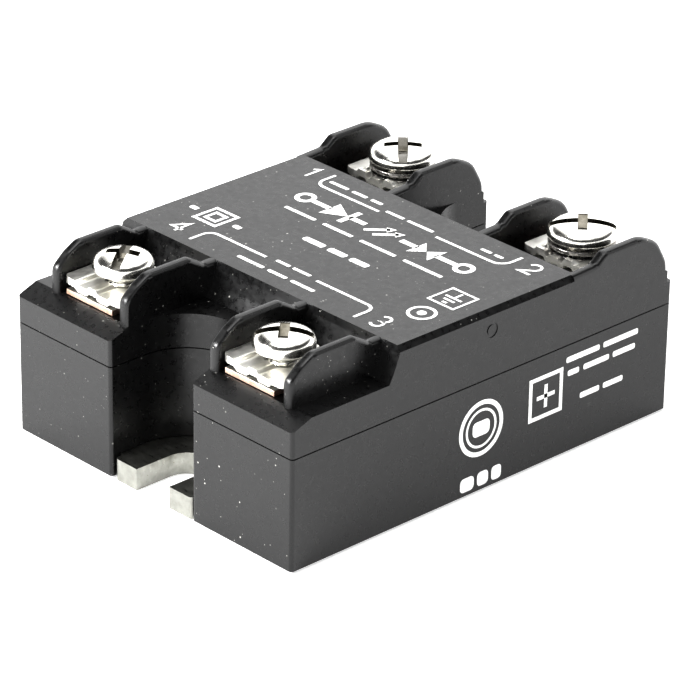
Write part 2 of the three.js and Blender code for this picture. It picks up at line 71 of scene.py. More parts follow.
# Barriers beside the terminals, as spans in X
INNER_BARRIER = (NOTCH_HALF, NOTCH_HALF + 1.4)
INPUT_OUTER = (18.2, 19.5)
OUTPUT_OUTER = (21.0, WIDTH / 2)
RIM = 0.55
BARRIER_ROOT = 12.9
BARRIER_FOOT = 16.4

# Screw bosses and strip slots in the cover
BOSS_RADIUS = 3.2
BOSS_BOTTOM = 12.3
WELL_BOTTOM = 12.8
WELL_GAP = 0.35
SLOT_HALF = 2.75
SLOT_SPAN = (15.5, 16.7)

# Base plate
PLATE_THICK = 2.6
PLATE_INSET = 1.3
PLATE_GAP = 0.1
TONGUE_HALF = 6.3
TONGUE_END = 28.7
HOLE_RADIUS = 2.4
SLOT_RADIUS = 2.7

# Terminals
STRIP_BOTTOM = 17.65
STRIP_TOP = 18.35
STRIP_INNER = 16.25
STRIP_HOLE_GAP = 0.15
LEG_SPAN = (15.75, 16.45)
LEG_HALF = 2.5
FOOT_END = 11.5
FOOT_THICK = 0.75
CLAMP_BOTTOM = 18.45
CLAMP_THICK = 0.85
CLAMP_HALF = 4.78
CLAMP_LENGTH = 9.0
CLAMP_HOLE_GAP = 0.3
THREAD_PITCH = 25.4 / 32
THREAD_DEPTH = 0.42
WASHER_SEAT = 3.9
SEAT_GAP = 0.03
FLAT_WASHER = {"outer": 3.7, "inner": 2.35, "bottom": 19.33, "thick": 0.32}
LOCK_WASHER = {"outer": 3.85, "inner": 2.35, "bottom": 19.95, "thick": 0.5, "rise": 0.12}
INPUT_SCREW = {"head": 3.45, "under": 20.85, "height": 2.1, "shank": 1.75, "length": 6.4}
OUTPUT_SCREW = {"head": 4.0, "under": 21.05, "height": 1.8, "shank": 2.08, "length": 7.9}
OUTPUT_END = {
    "end": 1, "y": 22.4, "screw": OUTPUT_SCREW, "strip": (-4.0, 4.0), "strip_end": 26.6, "leg_bottom": 3.68,
}
INPUT_END = {
    "end": -1, "y": -21.4, "screw": INPUT_SCREW, "strip": (-4.25, 3.5), "strip_end": 26.0, "leg_bottom": 9.0,
}
TERMINALS = [
    {"number": 1, "x": -14.45, "slot": -44, **OUTPUT_END},
    {"number": 2, "x": 14.45, "slot": 43, **OUTPUT_END},
    {"number": 3, "x": 12.9, "slot": 43, **INPUT_END},
    {"number": 4, "x": -13.2, "slot": -56, **INPUT_END},
]

# Clamp section. Distances across are from the screw's centre line
PLATEAU_RISE = 0.38
PLATEAU_EDGE = 0.5
CHANNEL_EDGE = 2.45
CHANNEL_BLEND = 0.55
WING_EDGE = 3.2
WING_SLOPE = 0.06
LOUVRE_CENTRE = 2.1
LOUVRE_HALF = 0.95
LOUVRE_BLEND = 0.5
LOUVRE_REACH = 1.7
LOUVRE_RUN_OUT = 1.2
LOUVRE_RISE = 0.75
TEETH_PER_MM = 1.9
TOOTH_DEPTH = 0.07
CLAMP_CORNER = 0.7
OUTER_CORNER = 0.9
INNER_CORNER = 0.5

# Screw recess. Depths are from the top of the head, CROSS_REACH is a share of its radius
GROOVE_WIDTH = 1.15
GROOVE_DEPTH = 0.85
GROOVE_LEAN = 0.06
CROSS_HALF = 0.55
CROSS_REACH = 0.60
CROSS_DEPTH = 1.3

# How far a cutting tool reaches past the body, and a gap too small to see
BEYOND = 1
HAIR = 0.001


# ---- materials ----

class Nodes:
    """Small helper for writing the node tree of a material or a world."""

    def __init__(self, owner, shader, coordinates):
        owner.use_nodes = True
        self.owner = owner
        self.tree = owner.node_tree
        self.shader = self.tree.nodes[shader]
        self.place = self.tree.nodes.new("ShaderNodeTexCoord").outputs[coordinates]

    def add(self, kind, **values):
        """Adds a node and sets the inputs named in values."""
        node = self.tree.nodes.new(kind)
        for name, value in values.items():
            node.inputs[name].default_value = value
        return node

    def link(self, source, target):
        self.tree.links.new(source, target)

    def colour(self, source):
        self.link(source, self.shader.inputs["Base Color"])

    def roughness(self, source):
        self.link(source, self.shader.inputs["Roughness"])

    def stretched(self, scale):
        """Object coordinates scaled by a different amount along each axis."""
        mapping = self.add("ShaderNodeMapping", Scale=scale)
        self.link(self.place, mapping.inputs["Vector"])
        return mapping.outputs["Vector"]

    def noise(self, scale, detail=2.0, roughness=0.5, vector=None):
        node = self.add("ShaderNodeTexNoise", Scale=scale, Detail=detail, Roughness=roughness)
        self.link(vector or self.place, node.inputs["Vector"])
        return node.outputs["Fac"]

    def ramp(self, source, low, high, low_colour, high_colour):
        """Colour that turns from one to the other as source goes from low to high."""
        node = self.tree.nodes.new("ShaderNodeValToRGB")
        first, last = node.color_ramp.elements
        first.position, first.color = low, (*low_colour, 1)
        last.position, last.color = high, (*high_colour, 1)
        self.link(source, node.inputs["Fac"])
        return node.outputs["Color"]

    def spread(self, source, low, high, out_low, out_high):
        """Number mapped from low..high to out_low..out_high and held at the ends."""
        node = self.tree.nodes.new("ShaderNodeMapRange")
        sockets = ("From Min", "From Max", "To Min", "To Max")
        for socket, value in zip(sockets, (low, high, out_low, out_high)):
            node.inputs[socket].default_value = value
        self.link(source, node.inputs["Value"])
        return node.outputs["Result"]

    def specks(self, scale, radius, share):
        """1 inside small dots, 0 elsewhere. share is how many of the cells hold a dot."""
        cells = self.add("ShaderNodeTexVoronoi", Scale=scale)
        self.link(self.place, cells.inputs["Vector"])
        split = self.tree.nodes.new("ShaderNodeSeparateColor")
        self.link(cells.outputs["Color"], split.inputs["Color"])
        chosen = self.spread(split.outputs["Red"], 1 - share, 1 - share + 0.01, 0, 1)
        inside = self.spread(cells.outputs["Distance"], radius, radius * 0.6, 0, 1)
        return self.maths("MULTIPLY", chosen, inside)

    def maths(self, operation, first, second):
        node = self.tree.nodes.new("ShaderNodeMath")
        node.operation = operation
        for socket, value in zip(node.inputs, (first, second)):
            if isinstance(value, (int, float)):
                socket.default_value = value
            else:
                self.link(value, socket)
        return node.outputs["Value"]

    def mix(self, amount, first, second):
        """Colour mixed from first to second by amount."""
        node = self.tree.nodes.new("ShaderNodeMix")
        node.data_type = "RGBA"
        self.link(amount, node.inputs["Factor"])
        # Inputs 6 and 7 and output 2 are this node's colours
        for socket, value in zip((node.inputs[6], node.inputs[7]), (first, second)):
            if isinstance(value, tuple):
                socket.default_value = (*value, 1)
            else:
                self.link(value, socket)
        return node.outputs[2]

    def bump(self, height, strength, distance):
        """Adds a bump on top of any earlier one."""
        node = self.add("ShaderNodeBump", Strength=strength, Distance=distance * MM)
        self.link(height, node.inputs["Height"])
        if self.shader.inputs["Normal"].links:
            self.link(self.shader.inputs["Normal"].links[0].from_socket, node.inputs["Normal"])
        self.link(node.outputs["Normal"], self.shader.inputs["Normal"])


def material_nodes(name):
    return Nodes(bpy.data.materials.new(name), "Principled BSDF", "Object")


def make_black_plastic():
    """Moulded glass-filled plastic: fine grain, faint flow mottle, scratches and dust."""
    n = material_nodes("moulded_black_plastic")
    n.shader.inputs["IOR"].default_value = 1.52
    mottle = n.noise(260, 4, 0.6)
    colour = n.ramp(mottle, 0.3, 0.75, (0.0014, 0.0014, 0.0015), (0.0032, 0.0032, 0.0034))
    scratch_a = n.noise(1.0, 3, 0.6, n.stretched((5200, 260, 900)))
    scratch_b = n.noise(1.0, 3, 0.6, n.stretched((300, 4800, 700)))
    long_marks = n.spread(scratch_a, 0.70, 0.76, 0, 0.35)
    cross_marks = n.spread(scratch_b, 0.71, 0.77, 0, 0.3)
    scratch = n.maths("MAXIMUM", long_marks, cross_marks)
    colour = n.mix(scratch, colour, (0.07, 0.07, 0.07))
    patches = n.spread(n.noise(95, 2), 0.42, 0.62, 0.12, 1)
    dust = n.maths("MULTIPLY", n.specks(900, 0.12, 0.2), patches)
    lint = n.maths("MULTIPLY", n.specks(2300, 0.18, 0.09), patches)
    dirt = n.maths("MINIMUM", n.maths("ADD", dust, lint), 0.75)
    colour = n.mix(dirt, colour, (0.50, 0.49, 0.46))
    n.colour(colour)
    n.roughness(n.spread(n.noise(1500, 3), 0.3, 0.7, 0.24, 0.38))
    n.bump(n.noise(5200, 3, 0.6), 0.40, 0.02)
    n.bump(n.noise(420, 2), 0.16, 0.05)
    n.bump(dirt, 0.5, 0.02)
    return n.owner


def make_metal(name, dark, light, rough, grain_scale, grain=(1, 1, 1), bump=0.06):
    """Plated or bare metal with faint mottle, fine grain and handling marks."""
    n = material_nodes(name)
    n.shader.inputs["Metallic"].default_value = 1.0
    colour = n.ramp(n.noise(700, 4, 0.6), 0.3, 0.7, dark, light)
    spots = n.maths("MULTIPLY", n.specks(1500, 0.12, 0.05), 0.55)
    n.colour(n.mix(spots, colour, (0.16, 0.13, 0.10)))
    streaks = n.noise(grain_scale, 3, 0.6, n.stretched(grain))
    n.roughness(n.spread(streaks, 0.3, 0.7, rough[0], rough[1]))
    n.bump(streaks, bump, 0.02)
    n.bump(n.noise(600, 2), 0.10, 0.05)
    return n.owner


def make_ink():
    """Screen-printed white ink, slightly uneven."""
    n = material_nodes("white_ink")
    cover = n.noise(2600, 3, 0.6)
    n.colour(n.ramp(cover, 0.28, 0.5, (0.62, 0.62, 0.60), (0.86, 0.86, 0.85)))
    n.roughness(n.spread(cover, 0.3, 0.7, 0.45, 0.6))
    n.bump(cover, 0.1, 0.01)
    return n.owner


def make_plain(name, dark, light, rough, scale=900, bump=0.12):
    """Matt or satin moulded material with mottle and a fine grain."""
    n = material_nodes(name)
    n.colour(n.ramp(n.noise(scale, 4, 0.6), 0.3, 0.7, dark, light))
    n.roughness(n.spread(n.noise(scale * 2, 2), 0.3, 0.7, rough * 0.85, rough * 1.15))
    n.bump(n.noise(scale * 3, 3), bump, 0.03)
    return n.owner


def make_banded(name, body, bands, pitch):
    """Axial component body with colour rings across X."""
    n = material_nodes(name)
    split = n.tree.nodes.new("ShaderNodeSeparateXYZ")
    n.link(n.place, split.inputs["Vector"])
    wave = n.maths("SINE", n.maths("MULTIPLY", split.outputs["X"], 2 * math.pi / (pitch * MM)), 0)
    base = n.ramp(n.noise(900, 3), 0.3, 0.7, body, tuple(c * 1.15 for c in body))
    n.colour(n.mix(n.spread(wave, 0.75, 0.8, 0, 1), base, bands))
    n.roughness(n.spread(n.noise(1800, 2), 0.3, 0.7, 0.35, 0.5))
    n.bump(n.noise(2500, 3), 0.1, 0.03)
    return n.owner


MATERIALS = {
    "black_plastic": make_black_plastic(),
    "nickel": make_metal("bright_nickel", (0.84, 0.825, 0.77), (0.93, 0.92, 0.88), (0.14, 0.24), 1.0,
                         (2600, 700, 2600)),
    "satin_nickel": make_metal("satin_nickel", (0.86, 0.85, 0.80), (0.96, 0.95, 0.91), (0.30, 0.46), 1.0,
                               (2600, 700, 2600), 0.12),
    # Painted shade: darkened nickel for the faces inside the screw's slot and cross
    "recess": make_metal("recess_painted_shade", (0.07, 0.065, 0.05), (0.15, 0.14, 0.12), (0.22, 0.34), 1.0,
                         (1800, 1800, 400)),
    # The washers' own grey metal, darkened further as painted shade for the shade and dark reflections under
    # the screw heads
    "steel": make_metal("steel_darkened_as_painted_shade", (0.26, 0.25, 0.24), (0.36, 0.35, 0.34), (0.22, 0.34), 1800),
    "aluminium_plate": make_metal("sheared_aluminium", (0.27, 0.27, 0.245), (0.40, 0.40, 0.37),
                                  (0.26, 0.42), 1.0, (500, 3600, 500), 0.12),
    "copper": make_metal("sheared_copper", (0.90, 0.56, 0.42), (1.0, 0.78, 0.66), (0.30, 0.45), 1.0,
                         (2800, 2800, 500), 0.12),
    "white_ink": make_ink(),
    "ceramic": make_plain("alumina", (0.72, 0.71, 0.67), (0.84, 0.83, 0.80), 0.55),
    "silicon": make_plain("silicon_die", (0.05, 0.055, 0.07), (0.09, 0.095, 0.11), 0.25, 500, 0.04),
    "resin": make_plain("epoxy_resin", (0.018, 0.017, 0.016), (0.035, 0.033, 0.03), 0.4, 350),
    "laminate": make_plain("board_laminate", (0.02, 0.12, 0.045), (0.03, 0.17, 0.065), 0.4, 1600),
    "component_black": make_plain("component_black", (0.014, 0.014, 0.015), (0.026, 0.026, 0.028),
                                  0.45, 1500),
    "resistor_body": make_banded("resistor_body", (0.50, 0.36, 0.20), (0.20, 0.03, 0.02), 1.9),
    "film_case": make_plain("film_case", (0.34, 0.03, 0.02), (0.42, 0.05, 0.035), 0.35, 700),
    "sleeve": make_plain("sleeve", (0.015, 0.04, 0.16), (0.02, 0.055, 0.21), 0.3, 500, 0.05),
    "diode_glass": make_banded("diode_glass", (0.55, 0.16, 0.05), (0.02, 0.02, 0.02), 2.6),
}


# ---- mesh helpers ----

SAME_POINT = 1e-4


@contextmanager
def editing(mesh):
    work = bmesh.new()
    work.from_mesh(mesh)
    yield work
    work.to_mesh(mesh)
    work.free()


def make_object(name, verts, faces):
    mesh = bpy.data.meshes.new(name)
    mesh.from_pydata(verts, [], faces)
    with editing(mesh) as work:
        bmesh.ops.recalc_face_normals(work, faces=work.faces)
    obj = bpy.data.objects.new(name, mesh)
    scene.collection.objects.link(obj)
    return obj


def sides_and_caps(count):
    """Faces of a closed body whose points are one outline followed by the same outline moved."""
    sides = [(i, (i + 1) % count, count + (i + 1) % count, count + i) for i in range(count)]
    return sides + [tuple(reversed(range(count))), tuple(range(count, 2 * count))]


def prism(outline, low, high, axis="z"):
    """Closed body of an outline carried along an axis.

    Outline points are (y, z) for axis x, (x, z) for y and (x, y) for z.
    """
    place = {
        "x": lambda a, b, t: (t, a, b),
        "y": lambda a, b, t: (a, t, b),
        "z": lambda a, b, t: (a, b, t),
    }[axis]
    verts = [place(a, b, t) for t in (low, high) for a, b in outline]
    return make_object("prism", verts, sides_and_caps(len(outline)))


def box(x0, x1, y0, y1, z0, z1):
    return prism([(x0, y0), (x1, y0), (x1, y1), (x0, y1)], z0, z1)


def circle(x, y, radius, count):
    angles = [2 * math.pi * i / count for i in range(count)]
    return [(x + radius * math.cos(a), y + radius * math.sin(a)) for a in angles]


def drum(x, y, radius, low, high, count=64, axis="z"):
    return prism(circle(x, y, radius, count), low, high, axis)


def rounded(corners, steps=6):
    """Outline through (a, b, radius) corners, each turned by an arc of its radius."""
    points = []
    for i, (a, b, radius) in enumerate(corners):
        here = Vector((a, b))
        before = (Vector(corners[i - 1][:2]) - here).normalized()
        after = (Vector(corners[(i + 1) % len(corners)][:2]) - here).normalized()
        if radius == 0:
            points.append(here)
            continue
        half = before.angle(after) / 2
        middle = here + (before + after).normalized() * (radius / math.sin(half))
        first = here + before * (radius / math.tan(half)) - middle
        last = here + after * (radius / math.tan(half)) - middle
        start = math.atan2(first.y, first.x)
        turn = (math.atan2(last.y, last.x) - start + math.pi) % (2 * math.pi) - math.pi
        count = max(2, math.ceil(abs(turn) / (math.pi / 2) * steps))
        for k in range(count + 1):
            angle = start + turn * k / count
            points.append(middle + radius * Vector((math.cos(angle), math.sin(angle))))
    kept = [p for i, p in enumerate(points) if (p - points[i - 1]).length > SAME_POINT]
    return [(p.x, p.y) for p in kept]


def closed_rings(bottom, rings, top):
    """Closed body of equal rings of points stacked between a bottom point and a top point."""
    count = len(rings[0])
    verts = [bottom, *(point for points in rings for point in points), top]
    last = 1 + (len(rings) - 1) * count
    faces = []
    for i in range(count):
        j = (i + 1) % count
        faces.append((0, 1 + j, 1 + i))
        for a in range(1, last, count):
            faces.append((a + i, a + j, a + count + j, a + count + i))
        faces.append((last + i, last + j, len(verts) - 1))
    return make_object("rings", verts, faces)


def turned(profile, x, y, count):
    """Closed body turned about the vertical through (x, y).

    The profile's points are (radius, z) and its two ends have radius 0.
    """
    rings = [[(px, py, z) for px, py in circle(x, y, radius, count)] for radius, z in profile[1:-1]]
    return closed_rings((x, y, profile[0][1]), rings, (x, y, profile[-1][1]))


def bake(obj):
    """Applies obj's modifiers to its mesh."""
    depsgraph = bpy.context.evaluated_depsgraph_get()
    mesh = bpy.data.meshes.new_from_object(obj.evaluated_get(depsgraph))
    obj.modifiers.clear()
    obj.data = mesh
    return obj


def combine(body, tools, operation):
    """Joins the tools to body or takes them from it, and removes them."""
    for tool in tools:
        modifier = body.modifiers.new(operation.lower(), "BOOLEAN")
        modifier.operation = operation
        modifier.solver = "MANIFOLD"
        modifier.object = tool
    bake(body)
    for tool in tools:
        bpy.data.objects.remove(tool)
    return body


def flatten(obj, degrees=0.6):
    """Merges faces that lie in one plane."""
    limit = math.radians(degrees)
    with editing(obj.data) as work:
        bmesh.ops.remove_doubles(work, verts=work.verts, dist=SAME_POINT)
        bmesh.ops.dissolve_limit(work, angle_limit=limit, verts=work.verts, edges=work.edges)
    return obj


def soften(obj, width, segments=2, degrees=32):
    """Rounds every edge sharper than the given angle, and clears away the slivers that leaves."""
    modifier = obj.modifiers.new("soften", "BEVEL")
    modifier.width = width
    modifier.segments = segments
    modifier.limit_method = "ANGLE"
    modifier.angle_limit = math.radians(degrees)
    modifier.miter_outer = "MITER_ARC"
    bake(obj)
    with editing(obj.data) as work:
        bmesh.ops.dissolve_degenerate(work, dist=SAME_POINT, edges=work.edges)
    return obj


def round_edges(obj, width, segments, chosen):
    """Rounds the edges for which chosen(edge) is true."""
    with editing(obj.data) as work:
        edges = [e for e in work.edges if chosen(e)]
        bmesh.ops.bevel(work, geom=edges, offset=width, offset_type="OFFSET", segments=segments,
                        profile=0.5, affect="EDGES", clamp_overlap=True)
    return obj


def paint(obj, *names):
    """Gives the mesh its materials. Faces take the first until they are told otherwise."""
    obj.data.materials.clear()
    for name in names:
        obj.data.materials.append(MATERIALS[name])
    return obj


# A face area in square millimetres, and cosines of the angle between two faces
BIG_FACE = 0.8
SAME_SURFACE = math.cos(math.radians(14))
SAME_EDGE = math.cos(math.radians(50))


def harden(mesh):
    """Sets the mesh's normals so that only rounded edges bend the light.

    A big face keeps its own direction, or shares it with neighbours of the same curved surface.
    A small face takes the direction of the largest face beside it, corner by corner.
    """
    around = [[] for _ in mesh.vertices]
    for face in mesh.polygons:
        for v in face.vertices:
            around[v].append(face)
    normals = []
    for face in mesh.polygons:
        for v in face.vertices:
            near = [other for other in around[v] if other.normal.dot(face.normal) > SAME_EDGE]
            lead = face if face.area > BIG_FACE or not near else max(near, key=lambda other: other.area)
            total = Vector((0, 0, 0))
            for other in around[v]:
                if other.normal.dot(lead.normal) > SAME_SURFACE:
                    total += other.normal * other.area
            normals.append(total.normalized() if total.length > 0 else face.normal)
    mesh.normals_split_custom_set(normals)


def finish_piece(obj, name, body, slot, replaced=(), degrees=35, flat=False):
    """Shades the mesh, brings it to metres, ties it to its body, paints it with the slot's material if it has
    none, and hides the CAD nodes it replaces.
    """
    obj.name = name
    obj.data.name = name
    obj.data.shade_smooth()
    if flat:
        harden(obj.data)
    else:
        obj.data.set_sharp_from_angle(angle=math.radians(degrees))
        weighted = obj.modifiers.new("weighted", "WEIGHTED_NORMAL")
        weighted.keep_sharp = True
        bake(obj)
    obj.data.transform(Matrix.Scale(MM, 4))
    if not any(obj.data.materials):
        paint(obj, slot)
    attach(obj, body)
    if replaced:
        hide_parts(*replaced)
    return obj


# ---- housing ----

def housing_outline(inset=0.0):
    """Plan of the housing drawn in by inset, with a round-ended notch at each end."""
    x = WIDTH / 2 - inset
    y = LENGTH / 2 - inset
    notch = NOTCH_HALF + inset
    back = HOLE_PITCH / 2 - notch
    corner = max(CORNER - inset, 0.1)
    corners = []
    for side in (-1, 1):
        corners += [
            (side * x, side * y, corner),
            (side * notch, side * y, corner),
            (side * notch, side * back, notch - HAIR),
            (-side * notch, side * back, notch - HAIR),
            (-side * notch, side * y, corner),
            (-side * x, side * y, corner),
        ]
    return rounded(corners, 14)


INPUT_BARRIER = rounded([
    (-BARRIER_ROOT, BARRIER_FOOT, 0), (-26.6, BARRIER_FOOT, 0), (-26.6, 20.5, 1.5), (-24.9, 21.95, 1.2),
    (-23.2, HEIGHT, 1.5), (-17.2, HEIGHT, 0.9), (-15.0, LABEL_TOP, 1.0), (-BARRIER_ROOT, LABEL_TOP, 0),
])
OUTPUT_BARRIER = rounded([
    (BARRIER_ROOT, BARRIER_FOOT, 0), (BARRIER_ROOT, LABEL_TOP, 0), (16.3, 21.75, 1.2), (17.8, HEIGHT, 1.0),
    (23.8, HEIGHT, 3.4), (26.4, 21.7, 3.0), (OUTPUT_EDGE, 18.7, 2.6), (OUTPUT_EDGE, 15.9, 0),
])


def make_barrier(profile, span):
    """Upright wall across a span in X with a rounded rim."""
    wall = prism(profile, *span, axis="x")

    def on_rim(edge):
        """True along the profile, but not at its foot or where it goes into the label block."""
        a, b = (vert.co for vert in edge.verts)
        across = abs(a.x - b.x) > 1e-6
        foot = max(a.z, b.z) < BARRIER_FOOT + 0.1
        root = abs(a.y - b.y) < 1e-6 and abs(a.y) < BARRIER_ROOT + 0.1
        return not (across or foot or root)

    return round_edges(wall, RIM, 4, on_rim)


def make_barriers():
    """An inner and an outer wall on each side of both ends."""
    walls = []
    for side in (-1, 1):
        for profile, span in (
            (INPUT_BARRIER, INNER_BARRIER), (INPUT_BARRIER, INPUT_OUTER),
            (OUTPUT_BARRIER, INNER_BARRIER), (OUTPUT_BARRIER, OUTPUT_OUTER),
        ):
            walls.append(make_barrier(profile, sorted(side * edge for edge in span)))
    return walls


def make_label_block(x):
    """Raised block that carries the label, with its two long top edges cut back."""
    side_view = rounded([
        (-BLOCK_END, BLOCK_FOOT, 0), (BLOCK_END, BLOCK_FOOT, 0),
        (BLOCK_END, PLATFORM_TOP, 0), (14.2, 19.2, 3.0), (13.6, 20.8, 2.0), (LABEL_END, LABEL_TOP, 0),
        (-LABEL_END, LABEL_TOP, 0), (-13.6, 20.8, 2.0), (-14.2, 19.2, 3.0), (-BLOCK_END, PLATFORM_TOP, 0),
    ], 4)
    block = prism(side_view, -x, x, "x")
    cut = LABEL_CHAMFER
    chamfers = []
    for side in (-1, 1):
        outline = [
            (side * (x - cut), LABEL_TOP + HAIR), (side * (x + BEYOND), LABEL_TOP + HAIR),
            (side * (x + BEYOND), LABEL_TOP - cut - BEYOND), (side * (x + HAIR), LABEL_TOP - cut),
        ]
        chamfers.append(prism(outline, -LENGTH / 2, LENGTH / 2, "y"))
    return combine(block, chamfers, "DIFFERENCE")


def make_terminal_openings():
    """Tools that cut the screw wells and the slots for the strips' legs."""
    tools = []
    for t in TERMINALS:
        radius = t["screw"]["shank"] + WELL_GAP
        tools.append(drum(t["x"], t["y"], radius, WELL_BOTTOM, PLATFORM_TOP + BEYOND, 40))
    for t in TERMINALS:
        near, far = sorted(t["end"] * edge for edge in SLOT_SPAN)
        tools.append(box(t["x"] - SLOT_HALF, t["x"] + SLOT_HALF, near, far,
                         PLATFORM_TOP - ROOF - BEYOND, PLATFORM_TOP + 0.2))
    return tools


def make_mould_ring(x):
    """Tool for the fine circle moulded into the side at x."""
    y, z, depth = MOULD_RING["y"], MOULD_RING["z"], MOULD_RING["depth"]
    outside = drum(y, z, MOULD_RING["outer"], x - depth, x + BEYOND, 32, "x")
    inside = drum(y, z, MOULD_RING["inner"], x - BEYOND, x + 2 * BEYOND, 32, "x")
    return combine(outside, [inside], "DIFFERENCE")


def make_top_cover():
    x, y = WIDTH / 2, LENGTH / 2
    above = PLATFORM_TOP + BEYOND
    past = y + BEYOND
    body = prism(housing_outline(), SEAM + SEAM_GAP, PLATFORM_TOP)
    input_slope = [(-y, SLOPE_LOW), (-SLOPE_START, PLATFORM_TOP), (-SLOPE_START, above), (-past, above),
                   (-past, SLOPE_LOW)]
    output_step = [(OUTPUT_EDGE, OUTPUT_SHELF), (past, OUTPUT_SHELF), (past, above), (OUTPUT_EDGE, above)]
    cuts = [prism(outline, -x - BEYOND, x + BEYOND, "x") for outline in (input_slope, output_step)]
    combine(body, cuts, "DIFFERENCE")
    block = make_label_block(x)
    combine(body, [block, *make_barriers()], "UNION")
    low_cavity = prism(housing_outline(WALL), SEAM - BEYOND, PLATFORM_TOP - ROOF)
    high_cavity = box(-x + WALL, x - WALL, -CAVITY_END, CAVITY_END, SEAM, LABEL_TOP - ROOF)
    combine(body, [low_cavity, high_cavity], "DIFFERENCE")
    bosses = [drum(t["x"], t["y"], BOSS_RADIUS, BOSS_BOTTOM, PLATFORM_TOP - 0.5, 32) for t in TERMINALS]
    combine(body, bosses, "UNION")
    combine(body, make_terminal_openings(), "DIFFERENCE")
    combine(body, [make_mould_ring(x)], "DIFFERENCE")
    flatten(body)
    soften(body, 0.16, 2)
    return finish_piece(body, "cover_shell", "housing", "black_plastic", ["top_cover"], flat=True)


def make_lower_case():
    body = prism(housing_outline(), CASE_BOTTOM, SEAM)
    inside = prism(housing_outline(WALL), -BEYOND, SEAM + BEYOND)
    seat = prism(plate_outline(PLATE_GAP), -BEYOND, PLATE_THICK + PLATE_GAP)
    combine(body, [inside, seat], "DIFFERENCE")
    flatten(body)
    soften(body, 0.14, 2)
    return finish_piece(body, "case_shell", "housing", "black_plastic", ["lower_case"], flat=True)


def plate_outline(grow=0.0, corner=0.0):
    """Plan of the base plate let out by grow, with a tongue at each end."""
    x = WIDTH / 2 - PLATE_INSET + grow
    y = LENGTH / 2 - PLATE_INSET + grow
    tongue = TONGUE_HALF + grow
    end = TONGUE_END + grow
    corners = []
    for side in (-1, 1):
        corners += [
            (side * x, side * y, corner),
            (side * tongue, side * y, 0),
            (side * tongue, side * end, corner),
            (-side * tongue, side * end, corner),
            (-side * tongue, side * y, 0),
            (-side * x, side * y, corner),
        ]
    return rounded(corners)


def make_base_plate():
    hole = HOLE_PITCH / 2
    body = prism(plate_outline(0, 0.5), 0, PLATE_THICK)
    r = SLOT_RADIUS
    end = r - hole
    slot = rounded([(-r, -LENGTH, 0), (r, -LENGTH, 0), (r, end, r - HAIR), (-r, end, r - HAIR)], 12)
    above = PLATE_THICK + BEYOND
    combine(body, [prism(slot, -BEYOND, above), drum(0, hole, HOLE_RADIUS, -BEYOND, above, 48)], "DIFFERENCE")
    flatten(body)
    soften(body, 0.22, 3)
    return finish_piece(body, "heat_plate", "housing", "aluminium_plate", ["base_plate"], flat=True)


# ---- terminals ----

def finish_at(t, obj, kind, body, slot, node, **shading):
    """Finishes a piece of terminal t. Its own, its node's and its moving body's names get the number."""
    number = t["number"]
    rides = body if body == "housing" else f"{body}_{number}"
    return finish_piece(obj, f"{kind}_{number}", rides, slot, [f"{node}_{number}"], **shading)


def drum_at(t, radius, low, high, count):
    return drum(t["x"], t["y"], radius, low, high, count)


def make_strip(t):
    """Flat strip under the clamp with its leg down through the cover."""
    low = t["leg_bottom"]

    def bar_along(across, ya, yb, bottom, top):
        """Box from its span across the terminal and two distances from the middle of the relay."""
        near, far = sorted((ya * t["end"], yb * t["end"]))
        return box(t["x"] + across[0], t["x"] + across[1], near, far, bottom, top)

    leg = (-LEG_HALF, LEG_HALF)
    body = bar_along(t["strip"], STRIP_INNER, t["strip_end"], STRIP_BOTTOM, STRIP_TOP)
    parts = [bar_along(leg, *LEG_SPAN, low, STRIP_TOP)]
    if t["end"] > 0:
        parts.append(bar_along(leg, FOOT_END, LEG_SPAN[1], low, low + FOOT_THICK))
    combine(body, parts, "UNION")
    radius = t["screw"]["shank"] + STRIP_HOLE_GAP
    combine(body, [drum_at(t, radius, STRIP_BOTTOM - BEYOND, STRIP_TOP + BEYOND, 40)], "DIFFERENCE")
    flatten(body)
    soften(body, 0.12, 2)
    paint(body, "satin_nickel", "copper")
    for face in body.data.polygons:
        sheared = abs(face.normal.z) < 0.6
        face.material_index = int(sheared)
    return finish_at(t, body, "strip", "housing", "nickel", "terminal_plate", flat=True)


def smooth_step(value):
    """0 below 0, 1 above 1 and a soft S between."""
    value = min(1.0, max(0.0, value))
    return value * value * (3 - 2 * value)


